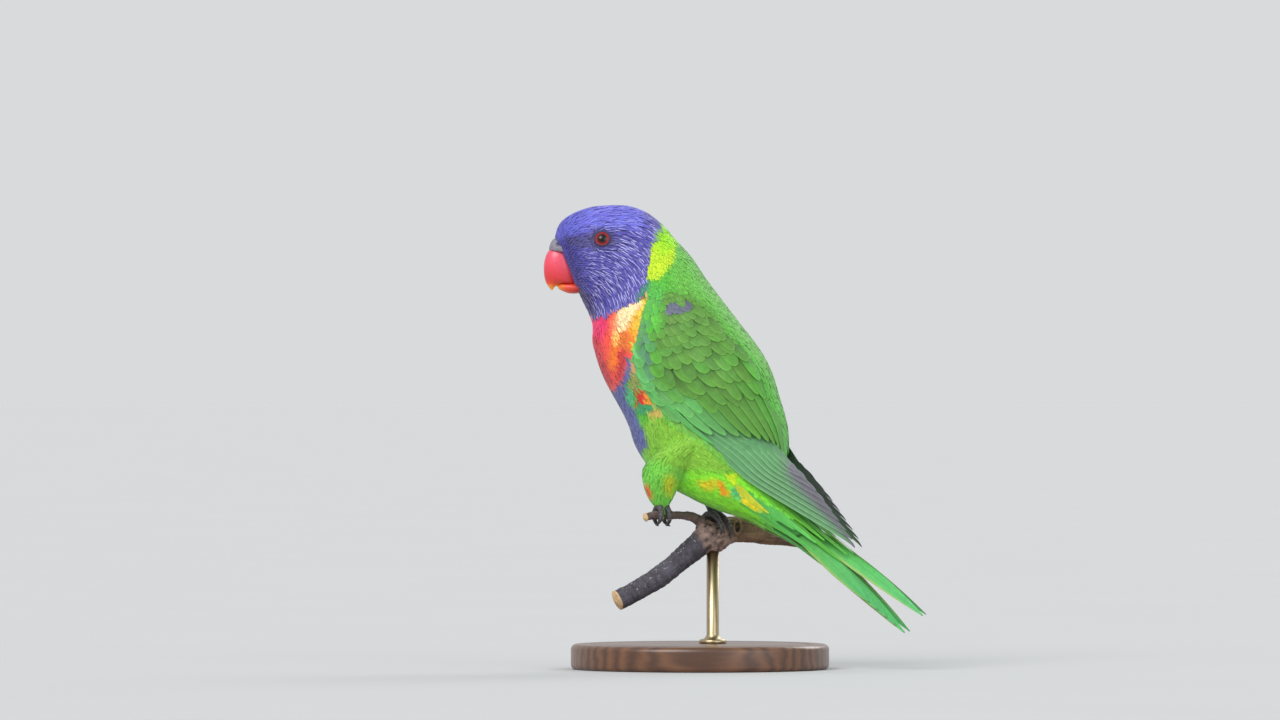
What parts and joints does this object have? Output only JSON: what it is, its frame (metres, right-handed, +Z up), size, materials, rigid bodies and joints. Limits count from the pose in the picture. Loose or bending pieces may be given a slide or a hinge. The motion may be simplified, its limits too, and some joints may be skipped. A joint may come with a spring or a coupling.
{
  "type": "rainbow lorikeet on a display stand",
  "caption": "Life-size still model of a perched rainbow lorikeet, head turned, gripping a short cut length of branch held over a round base by a rod.",
  "frame": {"origin": "centre of the underside of the stand's round base", "axes": "+Z up; the bird faces -X, with its left side toward -Y and its tail toward +X"},
  "size_m": [0.1831, 0.124, 0.223],
  "materials": {
    "plumage_blue": "violet-blue head feathers with paler shafts",
    "plumage_collar": "yellow-green collar over red and orange breast feathers",
    "plumage_green": "bright green feathers",
    "bill": "smooth orange-red horn",
    "cere_skin": "matt dark grey skin",
    "foot_skin": "scaly grey skin",
    "claw_horn": "smooth black horn",
    "eye": "wet red iris round a black pupil",
    "bark": "rough dark bark with pale lichen",
    "stand_wood": "satin dark wood",
    "stand_metal": "brushed"
  },
  "bodies": {
    "root": {"head": "plumage_blue", "neck": "plumage_collar", "torso": "plumage_green", "wing_left": "plumage_green", "wing_right": "plumage_green", "tail": "plumage_green", "thigh_left": "plumage_green", "thigh_right": "plumage_green", "bill_upper": "bill", "bill_lower": "bill", "cere": "cere_skin", "eye_left": "eye", "eye_right": "eye", "eyelid_left": "cere_skin", "eyelid_right": "cere_skin", "foot_left": "foot_skin", "foot_right": "foot_skin", "claw_left_1": "claw_horn", "claw_left_2": "claw_horn", "claw_left_3": "claw_horn", "claw_left_4": "claw_horn", "claw_right_1": "claw_horn", "claw_right_2": "claw_horn", "claw_right_3": "claw_horn", "claw_right_4": "claw_horn", "perch": "bark", "stand_base": "stand_wood", "stand_rod": "stand_metal"}
  },
  "joints": []
}
